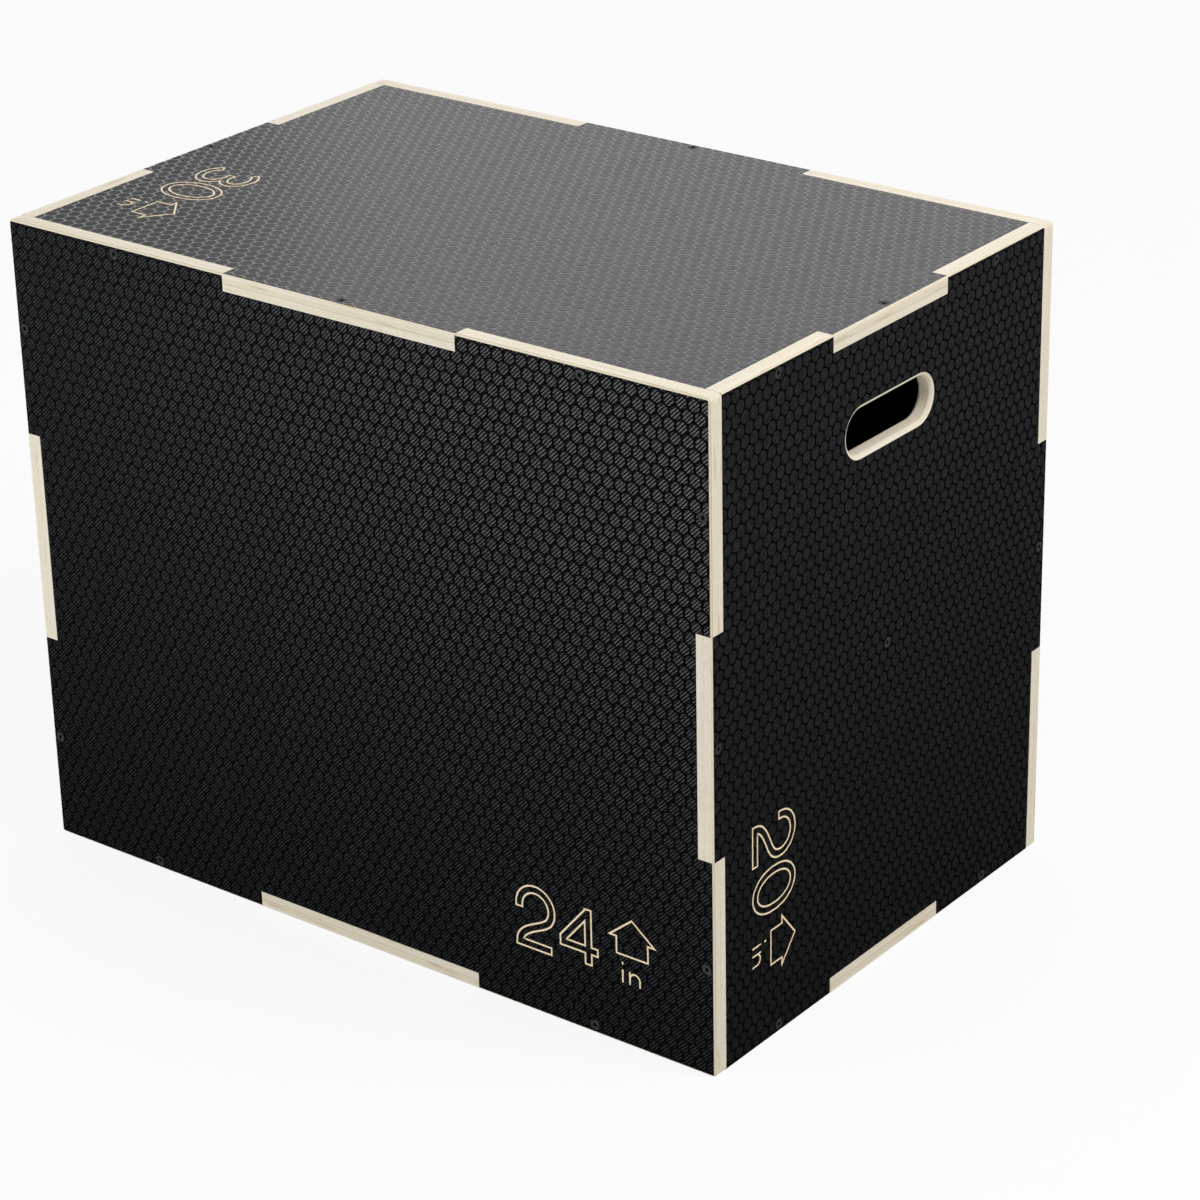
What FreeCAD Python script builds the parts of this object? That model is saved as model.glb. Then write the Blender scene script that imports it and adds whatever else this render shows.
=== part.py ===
# Plyo box: six plywood panels with interlocking tabs, screwed into a closed crate.
# Millimetres. The origin is the middle of the underside, +Z up, +X along the length, -Y to the front.
import FreeCAD, Part
import Sketcher
import os

SIZES = {
    # the crate outside
    "box_length": 762,
    "box_depth": 508,
    "box_height": 609.6,
    # each panel is a plywood core with a grip film outside and a smooth liner film inside
    "panel_thickness": 16,
    "grip_film_thickness": 0.4,
    "liner_thickness": 0.4,
    # the middle tab of each joint, along the length, the depth and the height
    "length_tab": 254,
    "depth_tab": 169.4,
    "height_tab": 203.2,
    "tab_clearance": 0.2,
    # how the crate's outer corners and edges are softened
    "corner_radius": 4,
    "film_corner_radius": 1,
    "edge_ease": 1.8,
    # the hand slot in each end panel, with its middle below the top of the crate
    "slot_length": 126,
    "slot_height": 40,
    "slot_drop": 97.6,
    "slot_round": 4,
    # countersunk wood screws
    "screw_diameter": 4.5,
    "screw_length": 50,
    "screw_tip": 6,
    "head_diameter": 9,
    "head_recess": 0.3,
    "socket_radius": 2.2,
    "socket_depth": 1.8,
    "seat_clearance": 0.1,
    "shank_clearance": 0.3,
    "pilot_clearance": 0.05,
    "pilot_spare": 3,
    # the brace between the end panels
    "brace_height": 120,
    "brace_thickness": 18,
}

COUNTERSINK_ANGLE = 90
HEX_SIDES = 6

doc = FreeCAD.newDocument("plyo_box")
sheet = doc.addObject("Spreadsheet::Sheet", "Sizes")
for row, (alias, value) in enumerate(SIZES.items(), start=1):
    sheet.set(f"A{row}", alias)
    sheet.set(f"B{row}", str(value))
    sheet.setAlias(f"B{row}", alias)
doc.recompute()

# Expressions that several pieces share
HALF_LENGTH = "Sizes.box_length / 2"
HALF_DEPTH = "Sizes.box_depth / 2"
HALF_HEIGHT = "Sizes.box_height / 2"
THICKNESS = "Sizes.panel_thickness"
EASE = "Sizes.edge_ease"
MID_PANEL = f"{THICKNESS} / 2"
LINER_TOP = f"({THICKNESS} - Sizes.liner_thickness)"
SLOT_RISE = f"({HALF_HEIGHT} - Sizes.slot_drop)"

# Screws stand in the middle of the tab that they hold, and halfway through the panel that they enter
SCREW_U_LENGTH = "(Sizes.box_length + Sizes.length_tab) / 4"
SCREW_U_DEPTH = f"({HALF_DEPTH} - {THICKNESS} + Sizes.depth_tab / 2) / 2"
SCREW_V_HEIGHT = "(Sizes.box_height + Sizes.height_tab) / 4"
EDGE_LENGTH = f"({HALF_LENGTH} - {MID_PANEL})"
EDGE_DEPTH = f"({HALF_DEPTH} - {MID_PANEL})"
EDGE_HEIGHT = f"({HALF_HEIGHT} - {MID_PANEL})"

HEAD_HOLE = "Sizes.head_diameter + 2 * Sizes.seat_clearance"
CORE_SINK = f"{HEAD_HOLE} - 2 * (Sizes.grip_film_thickness - Sizes.head_recess)"
SHANK_HOLE = "Sizes.screw_diameter + 2 * Sizes.shank_clearance"
PILOT_HOLE = "Sizes.screw_diameter + 2 * Sizes.pilot_clearance"
PILOT_DEPTH = f"Sizes.screw_length + Sizes.head_recess - {THICKNESS} + Sizes.pilot_spare"

# A panel lies in its own plane: u across, v up, and z out of its outer face.
# Each side has an outer level, and a middle level that is a notch or a tab.
# The eased levels are the ones that reach the crate's own edges.
KINDS = {
    "face": {
        "outer_u": HALF_LENGTH,
        "middle_u": f"{HALF_LENGTH} - {THICKNESS}",
        "outer_v": HALF_HEIGHT,
        "middle_v": f"{HALF_HEIGHT} - {THICKNESS}",
        "tab_u": "Sizes.length_tab / 2",
        "tab_v": "Sizes.height_tab / 2",
        "eased": ("outer_u", "outer_v"),
        "screws": [(SCREW_U_LENGTH, EDGE_HEIGHT), (EDGE_LENGTH, SCREW_V_HEIGHT)],
        "pilots": {"u": ("middle_u", None), "v": ("middle_v", None)},
        "rounded": True,
        "slot": False,
    },
    "end": {
        "outer_u": f"{HALF_DEPTH} - {THICKNESS}",
        "middle_u": HALF_DEPTH,
        "outer_v": HALF_HEIGHT,
        "middle_v": f"{HALF_HEIGHT} - {THICKNESS}",
        "tab_u": "Sizes.depth_tab / 2",
        "tab_v": "Sizes.height_tab / 2 - Sizes.tab_clearance",
        "eased": ("middle_u", "outer_v"),
        "screws": [(SCREW_U_DEPTH, EDGE_HEIGHT), (EDGE_DEPTH, None), (None, None)],
        "pilots": {"u": ("outer_u", SCREW_V_HEIGHT), "v": ("middle_v", None)},
        "rounded": False,
        "slot": True,
    },
    "deck": {
        "outer_u": f"{HALF_LENGTH} - {THICKNESS}",
        "middle_u": HALF_LENGTH,
        "outer_v": f"{HALF_DEPTH} - {THICKNESS}",
        "middle_v": HALF_DEPTH,
        "tab_u": "Sizes.length_tab / 2 - Sizes.tab_clearance",
        "tab_v": "Sizes.depth_tab / 2 - Sizes.tab_clearance",
        "eased": ("middle_u", "middle_v"),
        "screws": [(None, EDGE_DEPTH), (EDGE_LENGTH, None)],
        "pilots": {"u": ("outer_u", SCREW_U_DEPTH), "v": ("outer_v", SCREW_U_LENGTH)},
        "rounded": False,
        "slot": False,
    },
}

# Where each panel stands: its kind, the middle of its outer face and how it is turned from lying flat
UPRIGHT = FreeCAD.Rotation(FreeCAD.Vector(1, 0, 0), 90)


def turned(angle):
    """An upright panel turned about the vertical, 0 facing the front."""
    return FreeCAD.Rotation(FreeCAD.Vector(0, 0, 1), angle) * UPRIGHT


PANELS = {
    "front": ("face", ("0", f"-{HALF_DEPTH}", HALF_HEIGHT), turned(0)),
    "right": ("end", (HALF_LENGTH, "0", HALF_HEIGHT), turned(90)),
    "back": ("face", ("0", HALF_DEPTH, HALF_HEIGHT), turned(180)),
    "left": ("end", (f"-{HALF_LENGTH}", "0", HALF_HEIGHT), turned(270)),
    "top": ("deck", ("0", "0", "Sizes.box_height"), FreeCAD.Rotation()),
    "bottom": ("deck", ("0", "0", "0"), FreeCAD.Rotation(FreeCAD.Vector(1, 0, 0), 180)),
}


def stand(piece, panel):
    """Place a piece drawn in a panel's own plane where that panel stands."""
    kind, middle, rotation = PANELS[panel]
    piece.Placement = FreeCAD.Placement(FreeCAD.Vector(), rotation)
    for axis, expression in zip("xyz", middle):
        piece.setExpression(f".Placement.Base.{axis}", expression)


def origin_plane(body, role):
    return next(plane for plane in body.Origin.OriginFeatures if plane.Role == role)


def new_sketch(body, name, role="XY_Plane", rise="0"):
    """A sketch on one of the body's origin planes, raised along the plane's normal."""
    sketch = body.newObject("Sketcher::SketchObject", name)
    sketch.AttachmentSupport = [(origin_plane(body, role), "")]
    sketch.MapMode = "FlatFace"
    sketch.setExpression(".AttachmentOffset.Base.z", rise)
    return sketch


def value_of(expression):
    """The number that an expression of sheet values has now, to draw a sketch close to its solution."""
    return float(sheet.evalExpression(expression))


def bind(sketch, constraint, expression):
    index = sketch.addConstraint(constraint)
    sketch.setExpression(f"Constraints[{index}]", expression)


def hold_at(sketch, geometry, point, axis, sign, expression):
    """Hold a point of the sketch at plus or minus an expression from the origin along one axis."""
    if expression is None:
        sketch.addConstraint(Sketcher.Constraint("PointOnObject", geometry, point, {"X": -2, "Y": -1}[axis]))
        return
    ends = (-1, 1, geometry, point) if sign > 0 else (geometry, point, -1, 1)
    bind(sketch, Sketcher.Constraint(f"Distance{axis}", *ends, value_of(expression)), expression)


def draw_outline(sketch, kind, inset):
    """The stepped outline of a panel, moved inwards by an expression along the crate's own edges."""
    form = KINDS[kind]
    level = {}
    for key in ("outer_u", "middle_u", "outer_v", "middle_v", "tab_u", "tab_v"):
        level[key] = f"{form[key]} - {inset}" if key in form["eased"] else form[key]
    quarter = [
        ("middle_u", "tab_v"),
        ("outer_u", "tab_v"),
        ("outer_u", "outer_v"),
        ("tab_u", "outer_v"),
        ("tab_u", "middle_v"),
    ]
    points = []
    for across, up in ((1, 1), (-1, 1), (-1, -1), (1, -1)):
        run = quarter if across == up else quarter[::-1]
        points += [(across, level[u], up, level[v]) for u, v in run]
    drawn = [
        FreeCAD.Vector(across * value_of(u), up * value_of(v), 0)
        for across, u, up, v in points
    ]
    lines = [
        sketch.addGeometry(Part.LineSegment(drawn[i], drawn[(i + 1) % len(drawn)]))
        for i in range(len(drawn))
    ]
    for i, line in enumerate(lines):
        following = points[(i + 1) % len(points)]
        across, u, up, v = points[i]
        sketch.addConstraint(Sketcher.Constraint("Coincident", line, 2, lines[(i + 1) % len(lines)], 1))
        if (across, u) == following[:2]:
            sketch.addConstraint(Sketcher.Constraint("Vertical", line))
            hold_at(sketch, line, 1, "X", across, u)
        else:
            sketch.addConstraint(Sketcher.Constraint("Horizontal", line))
            hold_at(sketch, line, 1, "Y", up, v)


def draw_slot(sketch, growth):
    """The hand slot: two half circles joined by straight runs, grown all round by an expression."""
    radius = f"Sizes.slot_height / 2 + {growth}"
    reach = "(Sizes.slot_length - Sizes.slot_height) / 2"
    rise = value_of(SLOT_RISE)
    quarter_turn = FreeCAD.Units.Quantity("90 deg").getValueAs("rad").Value
    arcs = []
    for side in (1, -1):
        centre = FreeCAD.Vector(side * value_of(reach), rise, 0)
        circle = Part.Circle(centre, FreeCAD.Vector(0, 0, 1), value_of(radius))
        start = -side * quarter_turn
        arc = sketch.addGeometry(Part.ArcOfCircle(circle, start, start + 2 * quarter_turn))
        hold_at(sketch, arc, 3, "X", side, reach)
        hold_at(sketch, arc, 3, "Y", 1, SLOT_RISE)
        bind(sketch, Sketcher.Constraint("Radius", arc, value_of(radius)), radius)
        arcs.append(arc)
    for side in (1, -1):
        first = FreeCAD.Vector(side * value_of(reach), rise + side * value_of(radius), 0)
        last = FreeCAD.Vector(-side * value_of(reach), rise + side * value_of(radius), 0)
        line = sketch.addGeometry(Part.LineSegment(first, last))
        this_arc, other_arc = arcs if side > 0 else arcs[::-1]
        sketch.addConstraint(Sketcher.Constraint("Tangent", this_arc, 2, line, 1))
        sketch.addConstraint(Sketcher.Constraint("Tangent", line, 2, other_arc, 1))


def draw_circle(sketch, place, signs, diameter, axes=("X", "Y")):
    """A circle at plus or minus the two expressions of its place, where None means on that axis."""
    centre = [sign * value_of(where or "0") for where, sign in zip(place, signs)]
    circle = Part.Circle(FreeCAD.Vector(*centre, 0), FreeCAD.Vector(0, 0, 1), value_of(diameter) / 2)
    geometry = sketch.addGeometry(circle)
    for axis, where, sign in zip(axes, place, signs):
        hold_at(sketch, geometry, 3, axis, sign, where)
    bind(sketch, Sketcher.Constraint("Diameter", geometry, value_of(diameter)), diameter)


def mirrored_signs(place):
    """The signs that repeat a place on both sides of each axis that it stands off."""
    across = (1, -1) if place[0] else (1,)
    up = (1, -1) if place[1] else (1,)
    return [(a, b) for a in across for b in up]


def draw_screw_holes(sketch, kind, diameter):
    for place in KINDS[kind]["screws"]:
        for signs in mirrored_signs(place):
            draw_circle(sketch, place, signs, diameter)


def pad(body, sketch, length, downwards):
    feature = body.newObject("PartDesign::Pad", "Sheet")
    feature.Profile = sketch
    feature.Reversed = downwards
    feature.setExpression("Length", length)
    doc.recompute()
    return feature


def round_edges(body, name, base, radius, chosen):
    """Round the edges of the base that the chooser picks."""
    edges = [f"Edge{i}" for i, edge in enumerate(base.Shape.Edges, start=1) if chosen(edge)]
    feature = body.newObject("PartDesign::Fillet", name)
    feature.Base = (base, edges)
    feature.setExpression("Radius", radius)
    doc.recompute()
    return feature


def upright(edge):
    low, high = edge.BoundBox.ZMin, edge.BoundBox.ZMax
    return high - low > edge.Length / 2


def at_corner(kind, inset):
    """A chooser of the upright edges at the four outer corners of a panel."""
    far_u = value_of(f"{KINDS[kind]['outer_u']} - {inset}")
    far_v = value_of(f"{KINDS[kind]['outer_v']} - {inset}")
    corner = FreeCAD.Vector(far_u, far_v, 0)

    def chosen(edge):
        middle = edge.CenterOfMass
        place = FreeCAD.Vector(abs(middle.x), abs(middle.y), 0)
        return upright(edge) and place.isEqual(corner, value_of(THICKNESS) / 10)

    return chosen


def on_crate_edge(kind):
    """A chooser of the edges of a panel's outer face that are edges of the whole crate."""
    far_u, far_v = (value_of(KINDS[kind][key]) for key in KINDS[kind]["eased"])
    near = value_of("Sizes.corner_radius / 2")

    def chosen(edge):
        middle = edge.CenterOfMass
        outside = edge.BoundBox.ZMin > -value_of(MID_PANEL)
        return outside and (abs(middle.x) > far_u - near or abs(middle.y) > far_v - near)

    return chosen


def in_slot(edge):
    """Whether an edge belongs to the hand slot rather than to the outline."""
    middle = edge.CenterOfMass
    reach = value_of("Sizes.slot_length / 2 + Sizes.slot_round")
    drop = value_of("Sizes.slot_height / 2 + Sizes.slot_round")
    return abs(middle.x) < reach and abs(middle.y - value_of(SLOT_RISE)) < drop


def film(panel, suffix, top, thickness, hole):
    """One film of a panel, trimmed back to where the crate's edges begin to round."""
    kind = PANELS[panel][0]
    body = doc.addObject("PartDesign::Body", f"{panel}_{suffix}")
    sketch = new_sketch(body, "Outline", rise=f"-{top}")
    draw_outline(sketch, kind, EASE)
    draw_screw_holes(sketch, kind, hole)
    if KINDS[kind]["slot"]:
        draw_slot(sketch, "Sizes.slot_round")
    sheet_pad = pad(body, sketch, thickness, downwards=True)
    if KINDS[kind]["rounded"]:
        round_edges(body, "Corners", sheet_pad, "Sizes.film_corner_radius", at_corner(kind, EASE))
    stand(body, panel)
    return body


def core(panel):
    """The plywood of a panel, with its eased edges, screw holes and pilot holes."""
    kind = PANELS[panel][0]
    form = KINDS[kind]
    body = doc.addObject("PartDesign::Body", f"{panel}_panel")
    outline = new_sketch(body, "Outline", rise="-Sizes.grip_film_thickness")
    draw_outline(outline, kind, "0")
    if form["slot"]:
        draw_slot(outline, "0")
    rim = pad(body, outline, f"{LINER_TOP} - Sizes.grip_film_thickness", downwards=True)
    if form["rounded"]:
        rim = round_edges(body, "Corners", rim, "Sizes.corner_radius", at_corner(kind, "0"))
    rim = round_edges(body, "Eased", rim, EASE, on_crate_edge(kind))
    if form["slot"]:
        rim = round_edges(
            body, "Grip", rim, "Sizes.slot_round", lambda edge: not upright(edge) and in_slot(edge)
        )
    places = new_sketch(body, "Places", rise="-Sizes.grip_film_thickness")
    draw_screw_holes(places, kind, SHANK_HOLE)
    doc.recompute()
    holes = body.newObject("PartDesign::Hole", "Holes")
    holes.Profile = places
    holes.DepthType = "ThroughAll"
    holes.HoleCutType = "Countersink"
    holes.HoleCutCustomValues = True
    holes.HoleCutCountersinkAngle = COUNTERSINK_ANGLE
    holes.setExpression("Diameter", SHANK_HOLE)
    holes.setExpression("HoleCutDiameter", CORE_SINK)
    doc.recompute()
    drill_edges(body, "U", "YZ_Plane", form[form["pilots"]["u"][0]], form["pilots"]["u"][1])
    drill_edges(body, "V", "XZ_Plane", form[form["pilots"]["v"][0]], form["pilots"]["v"][1])
    stand(body, panel)
    return body


def drill_edges(body, name, role, reach, place, middle=f"({MID_PANEL})"):
    """Pilot holes into one pair of a body's edges, halfway through its thickness."""
    sketch = new_sketch(body, f"Pilots{name}", role, reach)
    for sign in (1, -1) if place else (1,):
        draw_circle(sketch, (place, middle), (sign, -1), PILOT_HOLE)
    bores = body.newObject("PartDesign::Pocket", f"Bores{name}")
    bores.Profile = sketch
    bores.setExpression("Length", PILOT_DEPTH)
    doc.recompute()
    both = body.newObject("PartDesign::Mirrored", f"Both{name}")
    both.Originals = [bores]
    both.MirrorPlane = (origin_plane(body, role), [""])
    body.Tip = both
    doc.recompute()


def wood_screw():
    """One countersunk screw, pointing down, with the top of its head at the origin."""
    body = doc.addObject("PartDesign::Body", "wood_screw")
    sketch = new_sketch(body, "Profile", "XZ_Plane")
    head, shank = "Sizes.head_diameter / 2", "Sizes.screw_diameter / 2"
    neck = "(Sizes.head_diameter - Sizes.screw_diameter) / 2"
    points = [
        (None, None),
        (head, None),
        (shank, neck),
        (shank, "Sizes.screw_length - Sizes.screw_tip"),
        (None, "Sizes.screw_length"),
    ]
    drawn = [FreeCAD.Vector(value_of(x or "0"), -value_of(z or "0"), 0) for x, z in points]
    lines = [
        sketch.addGeometry(Part.LineSegment(drawn[i], drawn[(i + 1) % len(drawn)]))
        for i in range(len(drawn))
    ]
    for i, line in enumerate(lines):
        sketch.addConstraint(Sketcher.Constraint("Coincident", line, 2, lines[(i + 1) % len(lines)], 1))
        hold_at(sketch, line, 1, "X", 1, points[i][0])
        hold_at(sketch, line, 1, "Y", -1, points[i][1])
    turned_shape = body.newObject("PartDesign::Revolution", "Turned")
    turned_shape.Profile = sketch
    turned_shape.ReferenceAxis = (sketch, ["V_Axis"])
    socket = body.newObject("PartDesign::SubtractivePrism", "Socket")
    socket.Polygon = HEX_SIDES
    socket.setExpression("Circumradius", "Sizes.socket_radius")
    socket.setExpression("Height", "Sizes.socket_depth")
    socket.setExpression(".Placement.Base.z", "-Sizes.socket_depth")
    doc.recompute()
    return body


def screw_group(panel, screw):
    """All the screws that are driven through one panel."""
    kind = PANELS[panel][0]
    links = []
    for place in KINDS[kind]["screws"]:
        for signs in mirrored_signs(place):
            link = doc.addObject("App::Link", f"{panel}_screw_{len(links) + 1}")
            link.LinkedObject = screw
            for axis, where, sign in zip("xy", place, signs):
                link.setExpression(f".Placement.Base.{axis}", f"{sign} * ({where or '0'})")
            link.setExpression(".Placement.Base.z", "-Sizes.head_recess")
            links.append(link)
    group = doc.addObject("Part::Compound", f"{panel}_screws")
    group.Links = links
    stand(group, panel)
    return group


def centre_brace():
    """A plywood board on edge, from one end panel to the other at half height."""
    body = doc.addObject("PartDesign::Body", "centre_brace")
    reach = f"{HALF_LENGTH} - {THICKNESS}"
    sketch = new_sketch(body, "Section", "YZ_Plane", f"-({reach})")
    half_wide, half_high = "Sizes.brace_thickness / 2", "Sizes.brace_height / 2"
    corners = [(1, 1), (-1, 1), (-1, -1), (1, -1)]
    drawn = [FreeCAD.Vector(a * value_of(half_wide), b * value_of(half_high), 0) for a, b in corners]
    lines = [
        sketch.addGeometry(Part.LineSegment(drawn[i], drawn[(i + 1) % len(drawn)]))
        for i in range(len(drawn))
    ]
    for i, line in enumerate(lines):
        sketch.addConstraint(Sketcher.Constraint("Coincident", line, 2, lines[(i + 1) % len(lines)], 1))
        hold_at(sketch, line, 1, "X", corners[i][0], half_wide)
        hold_at(sketch, line, 1, "Y", corners[i][1], half_high)
    pad(body, sketch, f"2 * ({reach})", downwards=False)
    drill_edges(body, "Ends", "YZ_Plane", reach, None, middle=None)
    body.setExpression(".Placement.Base.z", HALF_HEIGHT)
    return body


pieces = []
screw_master = wood_screw()
for panel_name in PANELS:
    pieces.append(core(panel_name))
    pieces.append(film(panel_name, "grip_film", "0", "Sizes.grip_film_thickness", HEAD_HOLE))
    pieces.append(film(panel_name, "liner", LINER_TOP, "Sizes.liner_thickness", SHANK_HOLE))
    pieces.append(screw_group(panel_name, screw_master))
pieces.append(centre_brace())
doc.recompute()

faults = [thing.Name for thing in doc.Objects if "Invalid" in thing.State or "Error" in thing.State]
faults += [piece.Label for piece in pieces if piece.Shape.isNull() or not piece.Shape.isValid()]
if faults:
    raise RuntimeError(f"pieces that failed: {faults}")

os.makedirs("parts", exist_ok=True)
for piece in pieces:
    piece.Shape.exportStep(f"parts/{piece.Label}.step")
    print(piece.Label, len(piece.Shape.Solids), "solids", round(piece.Shape.Volume), "mm3")
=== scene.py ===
import bpy
import numpy as np
from mathutils import Matrix, Vector


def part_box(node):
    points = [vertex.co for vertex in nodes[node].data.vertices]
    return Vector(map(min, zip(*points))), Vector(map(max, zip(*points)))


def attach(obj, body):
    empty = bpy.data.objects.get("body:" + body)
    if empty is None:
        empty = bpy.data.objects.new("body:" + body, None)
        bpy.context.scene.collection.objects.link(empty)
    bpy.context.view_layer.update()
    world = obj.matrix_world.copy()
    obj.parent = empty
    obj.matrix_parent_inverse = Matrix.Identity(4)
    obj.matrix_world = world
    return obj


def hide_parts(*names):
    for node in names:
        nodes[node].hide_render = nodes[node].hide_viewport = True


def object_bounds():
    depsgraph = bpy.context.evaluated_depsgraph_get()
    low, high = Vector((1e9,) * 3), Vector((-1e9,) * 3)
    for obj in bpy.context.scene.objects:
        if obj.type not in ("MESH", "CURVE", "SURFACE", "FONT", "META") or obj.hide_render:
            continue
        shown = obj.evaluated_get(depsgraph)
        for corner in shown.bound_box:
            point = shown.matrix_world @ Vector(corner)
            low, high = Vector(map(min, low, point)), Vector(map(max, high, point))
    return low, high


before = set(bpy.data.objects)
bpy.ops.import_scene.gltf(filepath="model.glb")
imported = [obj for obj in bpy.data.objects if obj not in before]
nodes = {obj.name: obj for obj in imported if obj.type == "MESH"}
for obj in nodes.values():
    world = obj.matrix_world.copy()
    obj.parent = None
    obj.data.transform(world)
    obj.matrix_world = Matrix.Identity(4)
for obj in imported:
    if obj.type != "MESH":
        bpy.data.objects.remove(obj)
cadLow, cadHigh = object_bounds()
print("loaded", len(nodes), "pieces of the crate")

scene = bpy.context.scene
crateMiddle = np.array((cadLow + cadHigh) / 2)
crateHalf = np.array((cadHigh - cadLow) / 2)

# each panel's own axes: u across its outer face and v up it; n, out of the face, is u x v
panelAxes = {
    "front": ((1, 0, 0), (0, 0, 1)),
    "right": ((0, 1, 0), (0, 0, 1)),
    "back": ((-1, 0, 0), (0, 0, 1)),
    "left": ((0, -1, 0), (0, 0, 1)),
    "top": ((1, 0, 0), (0, 1, 0)),
    "bottom": ((1, 0, 0), (0, -1, 0)),
}


def panelFrame(panel):
    # middle of the outer face, and the u, v and n directions as rows
    across, up = (np.array(axis, float) for axis in panelAxes[panel])
    out = np.cross(across, up)
    return crateMiddle + out * (np.abs(out) @ crateHalf), np.array([across, up, out])


def toCrate(panel, local):
    middle, axes = panelFrame(panel)
    return middle + local @ axes


def toPanel(panel, points):
    middle, axes = panelFrame(panel)
    return (points - middle) @ axes.T


def newPiece(name, points, faces, bare=0.0):
    # bare is 1 on the faces that an engraving leaves, and stays with them through the booleans
    mesh = bpy.data.meshes.new(name)
    mesh.from_pydata(points.tolist(), [], faces)
    layer = mesh.attributes.new("bare", "FLOAT", "FACE")
    layer.data.foreach_set("value", np.full(len(faces), bare, np.float32))
    piece = bpy.data.objects.new(name, mesh)
    scene.collection.objects.link(piece)
    return piece


def meshArrays(mesh):
    # corner points, and the point index of every face corner
    points = np.empty(len(mesh.vertices) * 3, np.float32)
    corners = np.empty(len(mesh.loops), np.int32)
    mesh.vertices.foreach_get("co", points)
    mesh.loops.foreach_get("vertex_index", corners)
    return points.reshape(-1, 3).astype(float), corners


def combine(piece, operation, other):
    # one boolean step, worked out at once; the other solid is used up
    step = piece.modifiers.new(operation, "BOOLEAN")
    step.operation, step.object, step.solver = operation, other, "MANIFOLD"
    result = piece.evaluated_get(bpy.context.evaluated_depsgraph_get())
    solid = bpy.data.meshes.new_from_object(result)
    piece.modifiers.clear()
    before, piece.data = piece.data, solid
    solid.name = piece.name
    bpy.data.objects.remove(other)
    bpy.data.meshes.remove(before)
    return piece


# the honeycomb tread that is pressed into the grip film, in metres
tread = {
    "pitch": 0.0122,  # middle to middle of two pads in a row
    "groove": 0.0017,  # groove width at the top
    "flank": 0.00042,  # width of a groove's sloping side
    "depth": 0.00018,
    "cornerCut": 0.22,  # share of a pad's side that is cut off at each end, to round the pad
    "slab": 0.0024,  # thickness before it is cut to the film
    "spare": 2,  # rows of pads past each edge, cut off later
}


def honeycomb(name, panel, halfU, halfV):
    # Pads stand at ((i + j odd / 2) pitch, j pitch sqrt(3) / 2). A pad is a hexagon with cut corners, drawn in by
    # half a groove, at height 0. Its flanks fall to a wider ring on the groove's floor, and the floor runs out to the
    # cell's six corners, which it shares with its neighbours.
    pitch = tread["pitch"]
    rowStep, reach = pitch * np.sqrt(3) / 2, pitch / np.sqrt(3)
    cols = int(halfU / pitch) + tread["spare"]
    rows = int(halfV / rowStep) + tread["spare"]
    i, j = np.meshgrid(np.arange(-cols, cols + 1), np.arange(-rows, rows + 1))
    middles = np.stack([(i + (j % 2) / 2) * pitch, j * rowStep], -1).reshape(-1, 1, 2)
    turn = np.radians(30 + 60 * np.arange(6))
    cell = reach * np.stack([np.cos(turn), np.sin(turn)], -1)

    def ring(gap):
        inner, cut = cell * (1 - gap / pitch), tread["cornerCut"]
        before = inner + cut * (np.roll(inner, 1, 0) - inner)
        after = inner + cut * (np.roll(inner, -1, 0) - inner)
        return (middles + np.stack([before, after], 1).reshape(12, 2)).reshape(-1, 2)

    padPoints, footPoints = ring(tread["groove"]), ring(tread["groove"] - 2 * tread["flank"])
    cellCorners = (middles + cell).reshape(-1, 2)
    steps = np.rint(cellCorners / [pitch / 2, reach / 2]).astype(int)
    _, first, shared = np.unique(steps, axis=0, return_index=True, return_inverse=True)
    corners = cellCorners[first]
    count, padCount = len(corners), len(padPoints)
    heights = np.repeat([0, -tread["depth"], -tread["slab"]], [padCount, padCount + count, count])
    local = np.column_stack([np.vstack([padPoints, footPoints, corners, corners]), heights])

    cells = len(middles)
    pads = np.arange(padCount).reshape(cells, 12)
    feet = pads + padCount
    flanks = np.stack([pads, feet, np.roll(feet, -1, 1), np.roll(pads, -1, 1)], -1).reshape(-1, 4)
    a, b = feet[:, ::2], feet[:, 1::2]
    low = shared.reshape(cells, 6) + 2 * padCount
    nextA, nextLow = np.roll(a, -1, 1), np.roll(low, -1, 1)
    floorCorners = np.stack([a, low, b], -1).reshape(-1, 3)
    floorSides = np.stack([nextA, b, low, nextLow], -1).reshape(-1, 4)
    under = low[:, ::-1] + count
    # an edge of one cell only is on the rim, and gets a wall down to the underside
    edges = np.stack([low, nextLow], -1).reshape(-1, 2)
    _, which, times = np.unique(np.sort(edges, 1), axis=0, return_index=True, return_counts=True)
    rim = edges[which[times == 1]]
    walls = np.stack([rim[:, 1], rim[:, 0], rim[:, 0] + count, rim[:, 1] + count], -1)
    groups = (pads, flanks, floorCorners, floorSides, under, walls)
    faces = [face for group in groups for face in group.tolist()]
    return newPiece(name, toCrate(panel, local), faces)


def filmOutline(panel, growth=0.001):
    # the CAD film as one closed solid with its outer face raised, so that it trims the slab's sides and underside
    points, corners = meshArrays(nodes[f"{panel}_grip_film"].data)
    merged, index = np.unique(np.round(points, 6), axis=0, return_inverse=True)
    triangles = index[corners].reshape(-1, 3)
    local = toPanel(panel, merged)
    outside = local[:, 2] > (local[:, 2].min() + local[:, 2].max()) / 2
    local[outside, 2] += growth
    return newPiece(f"{panel}Outline", toCrate(panel, local), triangles.tolist())


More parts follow.
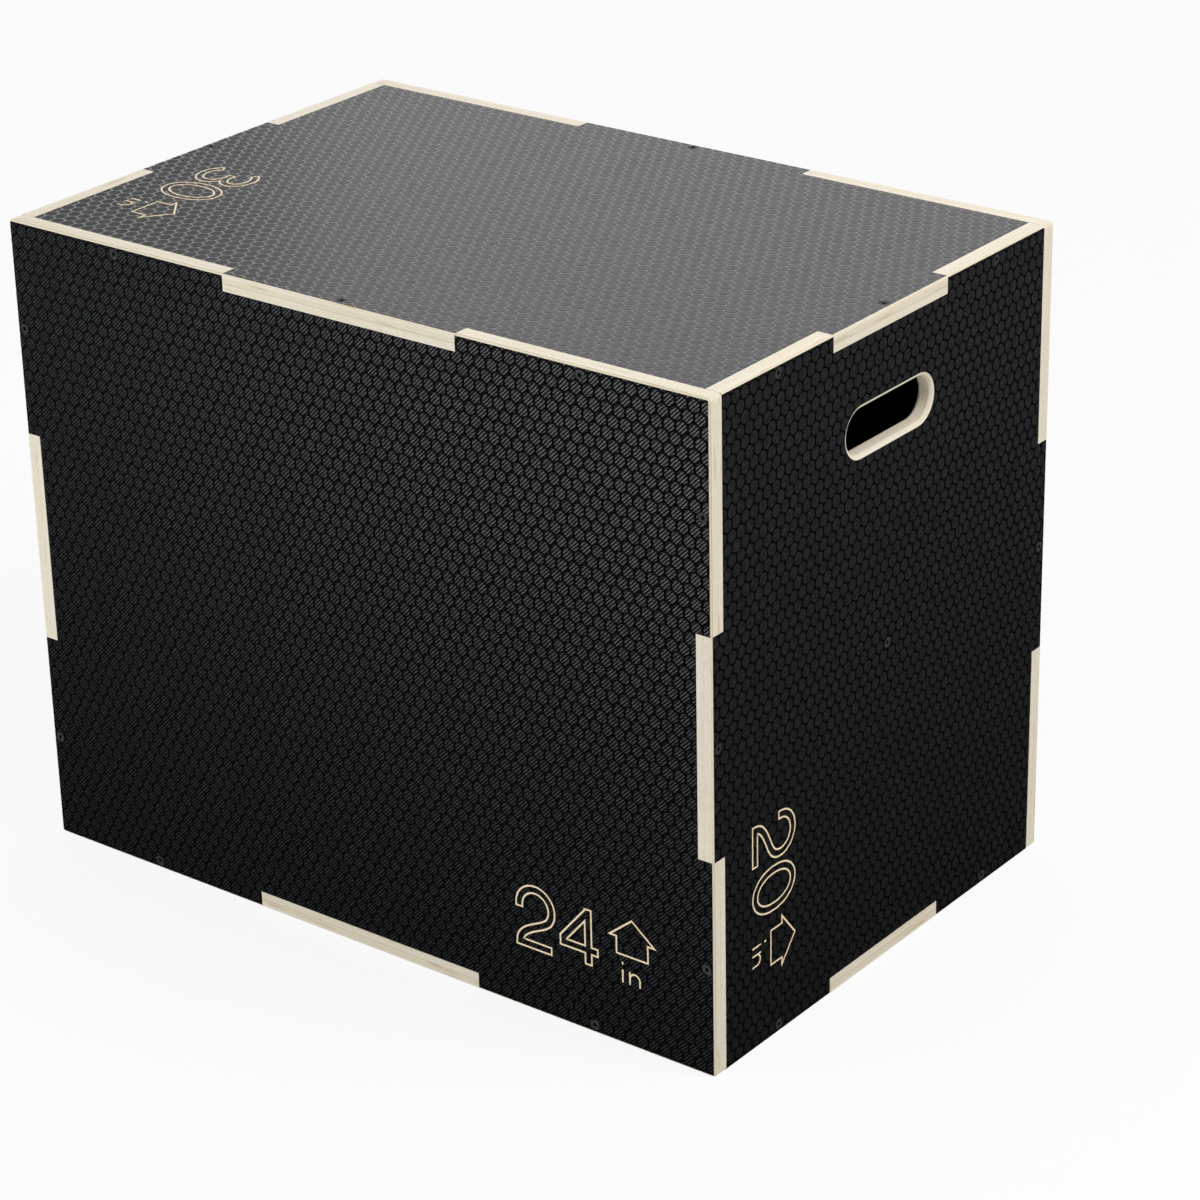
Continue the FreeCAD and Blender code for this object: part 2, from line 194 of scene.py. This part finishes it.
# the jump heights, engraved in the film as outlined numerals; sizes in metres, in the writing's own plane
marks = {
    "tall": 0.063,
    "wide": 0.0435,  # one numeral
    "gap": 0.004,
    "arrowGap": 0.0095,
    "body": 0.0068,  # between the two lines of a numeral
    "line": 0.0017,
    "arrowWide": 0.0487,
    "arrowTall": 0.037,
    "unitTall": 0.020,
    "unitGap": 0.006,  # between the unit and the arrow
    "unitShift": 0.0095,  # the unit's start, left of the arrow's middle
    "letterTall": 0.0125,
    "letterStep": 0.0075,
    "dotTall": 0.0028,
    "archRadius": 0.0053,
    "archDrop": 0.0013,
    "above": 0.0004,  # the cutting solids stand this far out of the film
    "below": 0.00024,  # and cut this deep, a little deeper than the tread
    "overshoot": 1.5,  # how much taller the solids are that are cut out of them
}
heightMarks = {
    # numerals, where the writing starts on the panel, and its direction and up in u and v
    "front": {"text": "24", "start": (0.1708, -0.2445), "along": (1, 0), "up": (0, 1)},
    "right": {"text": "20", "start": (-0.2000, -0.0922), "along": (0, -1), "up": (1, 0)},
    "top": {"text": "30", "start": (-0.3305, -0.0367), "along": (0, -1), "up": (1, 0)},
}


def strokeSolid(name, panel, path, width, closed=False, trim=(0, 0)):
    # A bar of the given width along a path on the panel: each station is the path point moved half a width both
    # ways along the mitre, the mean of its two sides' normals made longer so that the sides stay parallel.
    path = np.array(path, float)
    ahead = np.roll(path, -1, 0) - path
    ahead /= np.linalg.norm(ahead, axis=1, keepdims=True)
    behind = np.roll(ahead, 1, 0)
    if not closed:
        ahead[-1], behind[0] = ahead[-2], ahead[0]
        path[0] += ahead[0] * trim[0]
        path[-1] -= ahead[-1] * trim[1]
    normal = np.stack([-(ahead + behind)[:, 1], (ahead + behind)[:, 0]], -1)
    normal /= 1 + np.sum(ahead * behind, 1, keepdims=True)
    left, right = path + normal * width / 2, path - normal * width / 2
    low = np.full((len(path), 1), -marks["below"])
    high = np.full((len(path), 1), marks["above"])
    ring = np.stack(
        [np.hstack([left, low]), np.hstack([right, low]), np.hstack([right, high]), np.hstack([left, high])], 1
    )
    here = np.arange(len(path) * 4).reshape(-1, 4)
    there = np.roll(here, -1, 0)
    if not closed:
        here, there = here[:-1], there[:-1]
    sides = np.stack([here, there, np.roll(there, -1, 1), np.roll(here, -1, 1)], -1).reshape(-1, 4).tolist()
    ends = [] if closed else [[0, 1, 2, 3], [len(path) * 4 - k for k in (1, 2, 3, 4)]]
    return newPiece(name, toCrate(panel, ring.reshape(-1, 3)), sides + ends, 1.0)


def arc(middle, radii, start, stop, count=28):
    # points on an ellipse from one angle to another, in degrees
    turn = np.radians(np.linspace(start, stop, count))
    return np.array(middle) + np.array(radii) * np.stack([np.cos(turn), np.sin(turn)], -1)


def numeralStrokes(numeral):
    # Centre lines of a numeral with its lower left at the origin. Each comes with whether it closes, and whether its
    # first and last end are free. The numbers are shares of the width w, the height h or the round's radius r.
    inset = (marks["body"] + marks["line"]) / 2
    w, h = marks["wide"] - 2 * inset, marks["tall"] - 2 * inset
    shift = np.array([inset, inset])
    r = w / 2
    if numeral == "0":
        oval = np.radians(np.linspace(0, 360, 56, endpoint=False))
        rise = np.sign(np.sin(oval)) * np.abs(np.sin(oval)) ** 0.9  # a little fuller than an ellipse
        ring = np.stack([r + r * np.cos(oval), h / 2 + h / 2 * rise], -1)
        return [(ring + shift, True, (0, 0))]
    if numeral == "2":
        # the neck is a cubic curve that leaves the bowl along it and comes down upright at the lower left
        bowl = np.vstack([[[0, h - 1.2 * r]], arc((r, h - r), (r, r), 180, -30)])
        t = np.linspace(0, 1, 25)[1:, None]
        lead = bowl[-1] + 0.64 * r * np.array([-0.5, -0.866])
        neck = bowl[-1] * (1 - t) ** 3 + 3 * lead * t * (1 - t) ** 2 + 3 * np.array([0, 0.3 * h]) * t**2 * (1 - t)
        return [(np.vstack([bowl, neck, [[w, 0]]]) + shift, False, (1, 1))]
    if numeral == "3":
        small, large = 0.235 * h, 0.265 * h
        upper = np.vstack([arc((r, h - small), (r * 0.92, small), 158, -90), [[r * 0.7, 2 * large]]])
        lower = np.vstack([[[r * 0.7, 2 * large]], arc((r, large), (r, large), 90, -158)])
        return [(upper + shift, False, (1, 1)), (lower + shift, False, (1, 1))]
    w *= 1.07
    post, bar = 0.71 * w, 0.27 * h
    upright = np.array([[post, 0], [post, h]])
    slant = np.array([[post, h - 0.06 * h], [0, bar + 0.09 * h], [0, bar], [w, bar]])
    return [(upright + shift, False, (1, 1)), (slant + shift, False, (0, 1))]


def plainStrokes():
    # the up arrow, then the unit below it, each a single line
    line = marks["line"]
    w, h = marks["arrowWide"] - line, marks["arrowTall"] - line
    eaves, shaft, rise = 0.46 * h, 0.70 * w / 2, marks["unitTall"] + marks["unitGap"]
    roof = np.array([[w / 2, h], [0, eaves], [w / 2 - shaft, eaves], [w / 2 - shaft, 0]])
    arrow = np.vstack([roof, (roof * [-1, 1] + [w, 0])[:0:-1]]) + [line / 2, rise + line / 2]
    tall, letter, radius = marks["unitTall"], marks["letterTall"], marks["archRadius"]
    left = w / 2 - marks["unitShift"]
    second = left + marks["letterStep"]
    dot = np.array([[left, tall - marks["dotTall"]], [left, tall]])
    stem = np.array([[left, 0], [left, letter]])
    post = np.array([[second, 0], [second, letter]])
    archMiddle = (second + radius, letter - radius - marks["archDrop"])
    arch = np.vstack([arc(archMiddle, (radius, radius), 180, 0, 14), [[second + 2 * radius, 0]]])
    return [(arrow, True), (dot, False), (stem, False), (post, False), (arch, False)]


def deepen(panel, mesh):
    # moved a little out past both faces, so that no face lies on the face that it cuts
    local = toPanel(panel, meshArrays(mesh)[0])
    local[:, 2] *= marks["overshoot"]
    return toCrate(panel, local).astype(np.float32)


def cutMarks(film, panel, mark):
    # A numeral's outline is its strokes at their full width, joined, less the same strokes drawn in by a line's width.
    # That outline is cut out of the film. The arrow and the unit are cut as single lines.
    line, body = marks["line"], marks["body"]
    start, along, up = (np.array(mark[key], float) for key in ("start", "along", "up"))

    def onPanel(path, offset):
        return start + (path[:, :1] + offset) * along + path[:, 1:] * up

    offset = 0
    for numeral in mark["text"]:
        strokes = [(onPanel(path, offset), closed, free) for path, closed, free in numeralStrokes(numeral)]
        wide = [strokeSolid("wide", panel, path, body + line, closed) for path, closed, free in strokes]
        outline = wide[0]
        for other in wide[1:]:
            combine(outline, "UNION", other)
        for path, closed, free in strokes:
            trim = tuple(line * end for end in free)
            inner = strokeSolid("inner", panel, path, body - line, closed, trim)
            inner.data.vertices.foreach_set("co", deepen(panel, inner.data).ravel())
            combine(outline, "DIFFERENCE", inner)
        combine(film, "DIFFERENCE", outline)
        offset += marks["wide"] + marks["gap"]
    offset += marks["arrowGap"] - marks["gap"]
    for path, closed in plainStrokes():
        combine(film, "DIFFERENCE", strokeSolid("line", panel, onPanel(path, offset), line, closed))


def gripFilm(panel):
    # the tread, cut to the film's own outline and engraved
    low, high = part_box(f"{panel}_grip_film")
    _, axes = panelFrame(panel)
    halfU, halfV = np.abs(axes[:2]) @ np.array(high - low) / 2
    film = honeycomb(f"{panel}GripFilm", panel, halfU, halfV)
    combine(film, "INTERSECT", filmOutline(panel))
    if panel in heightMarks:
        cutMarks(film, panel, heightMarks[panel])
    # the place on the panel in metres, and how deep a point lies in the groove, for the material
    mesh = film.data
    points, corners = meshArrays(mesh)
    local = toPanel(panel, points)
    layer = mesh.uv_layers.new(name="panelPlace")
    layer.data.foreach_set("uv", local[corners, :2].astype(np.float32).ravel())
    sunk = mesh.attributes.new("sunk", "FLOAT", "POINT")
    sunk.data.foreach_set("value", np.clip(-local[:, 2] / tread["depth"], 0, 1).astype(np.float32))
    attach(film, "root")
    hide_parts(f"{panel}_grip_film")
    return film


films = {panel: gripFilm(panel) for panel in panelAxes}
for film in films.values():
    film.data.calc_loop_triangles()
print("pressed the tread, in triangles:", {panel: len(film.data.loop_triangles) for panel, film in films.items()})


# materials
def newMaterial(name):
    material = bpy.data.materials.new(name)
    material.use_nodes = True
    tree = material.node_tree
    return material, tree, tree.nodes["Principled BSDF"]


def addNode(tree, kind, links=None, **settings):
    # a node with its settings, and its inputs linked to sockets or set to values
    made = tree.nodes.new(kind)
    for key, value in settings.items():
        setattr(made, key, value)
    for key, value in (links or {}).items():
        socket = made.inputs[key]
        if isinstance(value, bpy.types.NodeSocket):
            tree.links.new(value, socket)
        else:
            socket.default_value = value
    return made


def calc(tree, operation, *values):
    return addNode(tree, "ShaderNodeMath", dict(enumerate(values)), operation=operation).outputs[0]


def mixColour(tree, factor, first, second):
    return addNode(tree, "ShaderNodeMix", {0: factor, 6: first, 7: second}, data_type="RGBA").outputs[2]


def mixValue(tree, factor, first, second):
    return addNode(tree, "ShaderNodeMix", {0: factor, 2: first, 3: second}, data_type="FLOAT").outputs[0]


def noise(tree, place, scale, detail=3, rough=0.55):
    return addNode(
        tree, "ShaderNodeTexNoise", {"Vector": place, "Scale": scale, "Detail": detail, "Roughness": rough}
    ).outputs["Fac"]


def stretch(tree, place, scale):
    return addNode(tree, "ShaderNodeMapping", {"Vector": place, "Scale": scale}).outputs[0]


def band(tree, value, low, high, bottom=0.0, top=1.0):
    # value between low and high, carried smoothly to bottom and top
    links = {"Value": value, "From Min": low, "From Max": high, "To Min": bottom, "To Max": top}
    return addNode(tree, "ShaderNodeMapRange", links, interpolation_type="SMOOTHSTEP").outputs[0]


filmLook = {
    "pad": (0.0014, 0.0016, 0.0019, 1),
    # the lines' colour is lighter than the pad's: a painted highlight where the raised lines catch the light
    "hatchPaintedHighlight": (0.0110, 0.0120, 0.0138, 1),  # the fine slanting lines on a pad
    "groove": (0.0020, 0.0021, 0.0024, 1),
    "bare": (0.92, 0.80, 0.58, 1),  # where the marks are engraved
    "bareDark": (0.80, 0.64, 0.40, 1),
    "hatchStep": 0.0026,  # between two lines
    "hatchWander": 0.0016,  # how far a line strays from straight
    "hatchSlope": 0.40,  # how much a line leans
    "lineBand": (-0.2, 0.75),  # the part of a cosine wave over which a line comes up
    "leanBand": (-0.85, -0.4),  # and the part over which it begins to lean
    "patchBand": (0.3, 0.65, 0.35, 1.0),  # lines fade to 0.35 in patches
    "wanderScale": 150,
    "patchScale": 260,
    "gritScale": 900,
    "hatchGloss": (0.06, 0.72),  # between the lines, and on them
    "rim": (0.00460, 0.00500),  # from a pad's middle, where the lines lose their gloss
    "rimGloss": 0.25,
    "flankGloss": 0.10,
    "grooveGloss": 0.36,
    "padRoughness": (0.30, 0.38),
    "grooveRoughness": 0.20,
}


def padReach(tree, u, v):
    # How far a point is from its pad's middle, across the pad's flat sides: the larger of x and x / 2 + y sqrt(3) / 2,
    # for the even rows of pads and for the odd ones, and the smaller of the two.
    half, row = tread["pitch"] / 2, tread["pitch"] * np.sqrt(3) / 2
    x, y = calc(tree, "PINGPONG", u, half), calc(tree, "PINGPONG", v, row)
    reaches = []
    for dx, dy in ((x, y), (calc(tree, "SUBTRACT", half, x), calc(tree, "SUBTRACT", row, y))):
        slanted = calc(tree, "MULTIPLY_ADD", dy, np.sqrt(3) / 2, calc(tree, "MULTIPLY", dx, 0.5))
        reaches.append(calc(tree, "MAXIMUM", dx, slanted))
    return calc(tree, "MINIMUM", *reaches)


def gripFilmMaterial():
    material, tree, shader = newMaterial("gripFilm")
    place = addNode(tree, "ShaderNodeUVMap", uv_map="panelPlace").outputs[0]
    u, v = addNode(tree, "ShaderNodeSeparateXYZ", {"Vector": place}).outputs[:2]
    sunk = addNode(tree, "ShaderNodeAttribute", attribute_name="sunk").outputs["Fac"]
    bare = addNode(tree, "ShaderNodeAttribute", attribute_name="bare").outputs["Fac"]
    crate = addNode(tree, "ShaderNodeTexCoord").outputs["Object"]
    wander = noise(tree, crate, filmLook["wanderScale"], 2)
    patch = noise(tree, crate, filmLook["patchScale"], 2)
    grit = noise(tree, crate, filmLook["gritScale"], 2)
    # sunk runs from 0 on a pad's top to 1 on the groove's floor
    padTop = band(tree, sunk, 0.0, 0.2, 1.0, 0.0)
    inside = band(tree, padReach(tree, u, v), *filmLook["rim"], 1.0, 0.0)
    # lines on the pads that rise to the right: where the cosine of (u - v) is high
    slant = calc(tree, "MULTIPLY_ADD", wander, filmLook["hatchWander"], calc(tree, "SUBTRACT", u, v))
    wave = calc(tree, "COSINE", calc(tree, "MULTIPLY", slant, 2 * np.pi / (filmLook["hatchStep"] * np.sqrt(2))))
    lines = calc(tree, "MULTIPLY", band(tree, wave, *filmLook["lineBand"]), band(tree, patch, *filmLook["patchBand"]))
    lines = calc(tree, "MULTIPLY", lines, padTop)
    # on top of their real lean and gloss, the lines are coloured lighter: a painted highlight
    colour = mixColour(tree, lines, filmLook["pad"], filmLook["hatchPaintedHighlight"])
    colour = mixColour(tree, band(tree, sunk, 0.3, 1.0), colour, filmLook["groove"])
    engraved = mixColour(tree, band(tree, grit, 0.35, 0.65), filmLook["bare"], filmLook["bareDark"])
    tree.links.new(mixColour(tree, bare, colour, engraved), shader.inputs["Base Color"])
    # the groove's floor is smoother than the pads, the flanks and the engraving
    padRough = band(tree, grit, 0.3, 0.7, *filmLook["padRoughness"])
    dull = calc(tree, "MAXIMUM", band(tree, sunk, 0.6, 0.95, 1.0, 0.0), bare)
    tree.links.new(mixValue(tree, dull, filmLook["grooveRoughness"], padRough), shader.inputs["Roughness"])
    low, high = filmLook["hatchGloss"]
    padGloss = mixValue(tree, inside, filmLook["rimGloss"], calc(tree, "MULTIPLY_ADD", lines, high - low, low))
    sideGloss = band(tree, sunk, 0.85, 1.0, filmLook["flankGloss"], filmLook["grooveGloss"])
    tree.links.new(mixValue(tree, padTop, sideGloss, padGloss), shader.inputs["Specular IOR Level"])
    # on a line the normal leans by slope / sqrt(2) against u and along v; each part is coded as a half plus its half
    lean = calc(tree, "MULTIPLY", band(tree, wave, *filmLook["leanBand"]), calc(tree, "MULTIPLY", padTop, inside))
    lean = calc(tree, "MULTIPLY", lean, filmLook["hatchSlope"] / np.sqrt(8))
    parts = {"X": calc(tree, "SUBTRACT", 0.5, lean), "Y": calc(tree, "ADD", 0.5, lean), "Z": 1.0}
    links = {"Color": addNode(tree, "ShaderNodeCombineXYZ", parts).outputs[0], "Strength": 1.0}
    normal = addNode(tree, "ShaderNodeNormalMap", links, space="TANGENT", uv_map="panelPlace")
    tree.links.new(normal.outputs[0], shader.inputs["Normal"])
    return material


woodLook = {
    "plies": 11,
    "thickness": 0.016,
    "brace": 0.018,  # the brace's thickness
    "pale": (0.85, 0.79, 0.665, 1),
    "warm": (0.77, 0.68, 0.52, 1),
    "glue": (0.42, 0.30, 0.16, 1),
    "streak": (0.50, 0.35, 0.19, 1),
    "grainScale": (5.0, 260.0),  # along the grain, and across it
    "broadScale": 14,
    "toneWarmth": 0.35,  # how much a sheet's own tone adds
    "broadWarmth": (0.5, -0.2),
    "grainWarmth": (0.32, 0.72, -0.25, 0.75),
    # counted in sheets from the face: where the first sheet and the first glue line end, and where the core
    # comes up (the first two numbers) and ends (the last two)
    "faceEnd": (1.2, 1.5),
    "firstEnd": (1.45, 1.55),
    "core": (2.4, 3.4, 5.8, 6.0),
    # for sheets through X, Y and Z: how much warmer the first sheet is, and the core
    "faceWarmth": (0.2, 0.7, 0.3),
    "coreWarmth": (0.10, 0.15, 0.60),
    # and how dark the line drawn at the first glue line is, far darker on sheets through Y, and the line under the
    # core
    "firstShare": (0.25, 0.85, 0.30),
    "coreLine": (0.15, 0.20, 0.55),
    "glueShare": 0.18,  # the other glue lines
    "glueWidth": (0.06, 0.26),  # in sheets, from the line's middle
    "streakScale": 20.0,
    "streakBand": (0.62, 0.76, 0.0, 0.55),
    "coreStreaks": 0.16,  # how many more streaks the core has
    "roughness": (0.40, 0.55),
    "gloss": 0.45,
    "bump": (0.3, 0.0002),
}


def plywoodMaterial(name, through, thickness=woodLook["thickness"], outer=None):
    # Sheets are counted inwards from the outer face along one axis. Their grain turns a quarter from one sheet to
    # the next, so an edge shows long streaks and end grain in turn.
    material, tree, shader = newMaterial(name)
    crate = addNode(tree, "ShaderNodeTexCoord").outputs["Object"]
    axes = addNode(tree, "ShaderNodeSeparateXYZ", {"Vector": crate})
    off = calc(tree, "ABSOLUTE", calc(tree, "SUBTRACT", axes.outputs[through], crateMiddle[through]))
    depth = calc(tree, "SUBTRACT", crateHalf[through] if outer is None else outer, off)
    sheet = calc(tree, "MULTIPLY", depth, woodLook["plies"] / thickness)
    number = calc(tree, "FLOOR", sheet)
    within = calc(tree, "FRACT", sheet)
    odd = calc(tree, "MODULO", number, 2.0)
    # two grains, each long on one of the sheet's own two axes
    along, across = woodLook["grainScale"]
    grains = []
    for flat in (axis for axis in range(3) if axis != through):
        scale = [along if axis == flat else across for axis in range(3)]
        grains.append(noise(tree, stretch(tree, crate, scale), 1.0, 4, 0.6))
    grain = mixValue(tree, odd, *grains)
    tone = addNode(tree, "ShaderNodeTexWhiteNoise", {"W": number}, noise_dimensions="1D").outputs["Value"]
    broad = calc(tree, "MULTIPLY_ADD", noise(tree, crate, woodLook["broadScale"], 2), *woodLook["broadWarmth"])
    warmth = calc(tree, "MULTIPLY_ADD", tone, woodLook["toneWarmth"], broad)
    warmth = calc(tree, "ADD", warmth, band(tree, grain, *woodLook["grainWarmth"]))
    warmth = calc(tree, "ADD", warmth, band(tree, sheet, *woodLook["faceEnd"], woodLook["faceWarmth"][through], 0.0))
    start, full, fade, end = woodLook["core"]
    core = calc(tree, "MULTIPLY", band(tree, sheet, start, full), band(tree, sheet, fade, end, 1.0, 0.0))
    core = calc(tree, "MULTIPLY", core, woodLook["coreWarmth"][through])
    colour = mixColour(tree, calc(tree, "ADD", warmth, core), woodLook["pale"], woodLook["warm"])
    # thin glue lines between the sheets, two of them darker
    nearLine = calc(tree, "MINIMUM", within, calc(tree, "SUBTRACT", 1.0, within))
    share = band(tree, sheet, *woodLook["firstEnd"], woodLook["firstShare"][through], woodLook["glueShare"])
    underCore = calc(tree, "COMPARE", sheet, end, 0.5)
    share = calc(tree, "MULTIPLY_ADD", underCore, woodLook["coreLine"][through], share)
    glue = calc(tree, "MULTIPLY", band(tree, nearLine, *woodLook["glueWidth"], 1.0, 0.0), share)
    colour = mixColour(tree, glue, colour, woodLook["glue"])
    # a few brown streaks in the sheets, more of them in the core
    scale = [across if axis == through else woodLook["streakScale"] for axis in range(3)]
    seldom = noise(tree, stretch(tree, crate, scale), 1.0, 2)
    seldom = calc(tree, "MULTIPLY_ADD", core, woodLook["coreStreaks"], seldom)
    colour = mixColour(tree, band(tree, seldom, *woodLook["streakBand"]), colour, woodLook["streak"])
    tree.links.new(colour, shader.inputs["Base Color"])
    tree.links.new(band(tree, grain, 0.3, 0.7, *woodLook["roughness"]), shader.inputs["Roughness"])
    shader.inputs["Specular IOR Level"].default_value = woodLook["gloss"]
    strength, distance = woodLook["bump"]
    bump = addNode(tree, "ShaderNodeBump", {"Height": grain, "Strength": strength, "Distance": distance})
    tree.links.new(bump.outputs[0], shader.inputs["Normal"])
    return material


linerLook = {
    "dark": (0.018, 0.012, 0.009, 1),
    "light": (0.034, 0.022, 0.015, 1),
    "cloudScale": 22,
    "roughness": (0.3, 0.45),
}


def linerMaterial():
    material, tree, shader = newMaterial("linerFilm")
    crate = addNode(tree, "ShaderNodeTexCoord").outputs["Object"]
    cloud = noise(tree, crate, linerLook["cloudScale"], 4)
    tree.links.new(mixColour(tree, cloud, linerLook["dark"], linerLook["light"]), shader.inputs["Base Color"])
    tree.links.new(band(tree, cloud, 0.3, 0.7, *linerLook["roughness"]), shader.inputs["Roughness"])
    return material


screwLook = {
    "coat": (0.036, 0.036, 0.037, 1),
    "worn": (0.10, 0.098, 0.094, 1),
    # painted shade: this near-black colour stands in for the shadow deep in the socket and on the shank
    "paintedShade": (0.010, 0.010, 0.011, 1),  # in the socket and on the shank
    "faceDepth": (0.00036, 0.00065),  # below the crate's face, where the coat gives way to the shade
    "roughness": (0.5, 0.65),
    "gloss": 0.10,
    "scuffScale": 700,
}


def screwMaterial():
    material, tree, shader = newMaterial("screwSteel")
    crate = addNode(tree, "ShaderNodeTexCoord").outputs["Object"]
    scuff = noise(tree, crate, screwLook["scuffScale"], 3)
    colour = mixColour(tree, band(tree, scuff, 0.5, 0.72), screwLook["coat"], screwLook["worn"])
    # the depth below the nearest of the crate's six faces
    axes = addNode(tree, "ShaderNodeSeparateXYZ", {"Vector": crate}).outputs
    offs = [calc(tree, "ABSOLUTE", calc(tree, "SUBTRACT", axes[k], crateMiddle[k])) for k in range(3)]
    depths = [calc(tree, "SUBTRACT", crateHalf[k], offs[k]) for k in range(3)]
    depth = calc(tree, "MINIMUM", calc(tree, "MINIMUM", depths[0], depths[1]), depths[2])
    # deeper below the face the coat turns to the painted shade, darkening the recess as if in shadow
    colour = mixColour(tree, band(tree, depth, *screwLook["faceDepth"]), colour, screwLook["paintedShade"])
    tree.links.new(colour, shader.inputs["Base Color"])
    tree.links.new(band(tree, scuff, 0.3, 0.7, *screwLook["roughness"]), shader.inputs["Roughness"])
    shader.inputs["Specular IOR Level"].default_value = screwLook["gloss"]
    return material


def paint(piece, material):
    piece.data.materials.clear()
    piece.data.materials.append(material)


film, liner, steel = gripFilmMaterial(), linerMaterial(), screwMaterial()
plywood = [plywoodMaterial(f"plywood{'XYZ'[axis]}", axis) for axis in range(3)]
for panel in panelAxes:
    through = int(np.argmax(np.abs(panelFrame(panel)[1][2])))
    paint(films[panel], film)
    paint(nodes[f"{panel}_panel"], plywood[through])
    paint(nodes[f"{panel}_liner"], liner)
    paint(nodes[f"{panel}_screws"], steel)
paint(nodes["centre_brace"], plywoodMaterial("braceBoard", 1, woodLook["brace"], woodLook["brace"] / 2))
print("painted every piece")

# floor, light and camera
studio = {
    "floor": (0.86, 0.86, 0.86, 1),
    "floorReach": 14.0,
    "floorWhite": 0.88,  # share of the floor's seen colour that is plain white, the rest keeps the shadow
    "ambient": 0.36,  # the world's light on the object; the background itself is white
    # dark cards on the floor and at the left, as a photographer's flags: they show only in reflections
    "cards": {
        "floorCard": [(-13, -13, 0.001), (13, -13, 0.001), (13, 13, 0.001), (-13, 13, 0.001)],
        "leftCard": [(-2.6, -1.4, 0), (-2.6, 2.5, 0), (-2.6, 2.5, 1.3), (-2.6, -1.4, 1.3)],
    },
    "card": (0.02, 0.02, 0.02, 1),
    "lensPixels": 3817.0,  # focal length in pixels of a 1200 pixel frame
    "framePixels": 1200,
    "camera": (1.9908, -2.4647, 1.6915),
    "cameraRight": (0.794505, 0.606928, -0.019975),
    "cameraDown": (0.238013, -0.341498, -0.909246),
    "lamps": {
        # place, aim, width, height, watts, colour, and whether it shows in reflections
        "backSoftbox": ((-1.9, 2.4, 2.1), (0, 0, 0.6), 3.4, 2.2, 19, (1, 1, 1), True),
        "keySoftbox": ((-2.2, -2.9, 1.0), (0, -0.25, 0.3), 1.6, 1.6, 26, (0.93, 0.98, 1), False),
        "leftStrip": ((-2.3, -2.2, 0.60), (0, -0.25, 0.3), 1.6, 0.8, 15, (0.93, 0.98, 1), True),
        "overhead": ((-0.45, 0.55, 2.7), (0, 0, 0.6), 0.8, 0.8, 3, (1, 1, 1), True),
        "rightFill": ((2.4, 0.3, 3.0), (0.4, 0, 0.3), 1.6, 1.6, 74, (1, 1, 1), False),
        "frontFill": ((0.2, -3.4, 1.4), (0, -0.25, 0.3), 1.6, 1.6, 21, (1, 1, 1), False),
    },
}


def addLamp(name, place, aim, width, tall, power, colour, mirrored):
    lamp = bpy.data.lights.new(name, "AREA")
    lamp.shape, lamp.size, lamp.size_y, lamp.energy, lamp.color = "RECTANGLE", width, tall, power, colour
    holder = bpy.data.objects.new(name, lamp)
    holder.location = place
    holder.rotation_euler = (Vector(aim) - Vector(place)).to_track_quat("-Z", "Y").to_euler()
    holder.visible_camera, holder.visible_glossy = False, mirrored
    scene.collection.objects.link(holder)


reach = studio["floorReach"]
floorCorners = np.array([[-1, -1, 0], [1, -1, 0], [1, 1, 0], [-1, 1, 0]]) * reach
floor = newPiece("studioFloor", floorCorners, [[0, 1, 2, 3]])


def seenDirectly(tree):
    # 1 for what the camera sees, also in a mirror or through glass, and 0 for light that falls on the object
    rays = addNode(tree, "ShaderNodeLightPath").outputs
    behind = calc(tree, "MAXIMUM", rays["Is Glossy Ray"], rays["Is Transmission Ray"])
    return calc(tree, "MAXIMUM", rays["Is Camera Ray"], behind)


floorPaint, tree, shader = newMaterial("floorPaint")
shader.inputs["Base Color"].default_value = studio["floor"]
shader.inputs["Roughness"].default_value = 0.9
shader.inputs["Specular IOR Level"].default_value = 0.0
white = addNode(tree, "ShaderNodeEmission", {"Color": (1, 1, 1, 1), "Strength": 1.0}).outputs[0]
share = calc(tree, "MULTIPLY", seenDirectly(tree), studio["floorWhite"])
blend = addNode(tree, "ShaderNodeMixShader", {0: share, 1: shader.outputs[0], 2: white}).outputs[0]
tree.links.new(blend, tree.nodes["Material Output"].inputs["Surface"])
paint(floor, floorPaint)

cardPaint, tree, shader = newMaterial("cardPaint")
shader.inputs["Base Color"].default_value = studio["card"]
shader.inputs["Roughness"].default_value = 1.0
shader.inputs["Specular IOR Level"].default_value = 0.0
for name, corners in studio["cards"].items():
    card = newPiece(name, np.array(corners, float), [[0, 1, 2, 3]])
    paint(card, cardPaint)
    card.visible_camera = card.visible_diffuse = card.visible_transmission = card.visible_shadow = False

world = bpy.data.worlds.new("studioWorld")
scene.world = world
world.use_nodes = True
tree = world.node_tree
sky = tree.nodes["Background"]
sky.inputs["Color"].default_value = (1, 1, 1, 1)
tree.links.new(band(tree, seenDirectly(tree), 0.0, 1.0, studio["ambient"], 1.0), sky.inputs["Strength"])

for name, lampValues in studio["lamps"].items():
    addLamp(name, *lampValues)

camera = bpy.data.cameras.new("photoCamera")
camera.sensor_width = 36
camera.lens = studio["lensPixels"] / studio["framePixels"] * camera.sensor_width
camera.clip_end = 100
viewer = bpy.data.objects.new("photoCamera", camera)
right, down = Vector(studio["cameraRight"]), Vector(studio["cameraDown"])
turn = Matrix((right, -down, -right.cross(down))).transposed()
viewer.matrix_world = Matrix.Translation(Vector(studio["camera"])) @ turn.to_4x4()
scene.collection.objects.link(viewer)
scene.camera = viewer
scene.view_settings.view_transform = "Standard"
print("set up the studio")
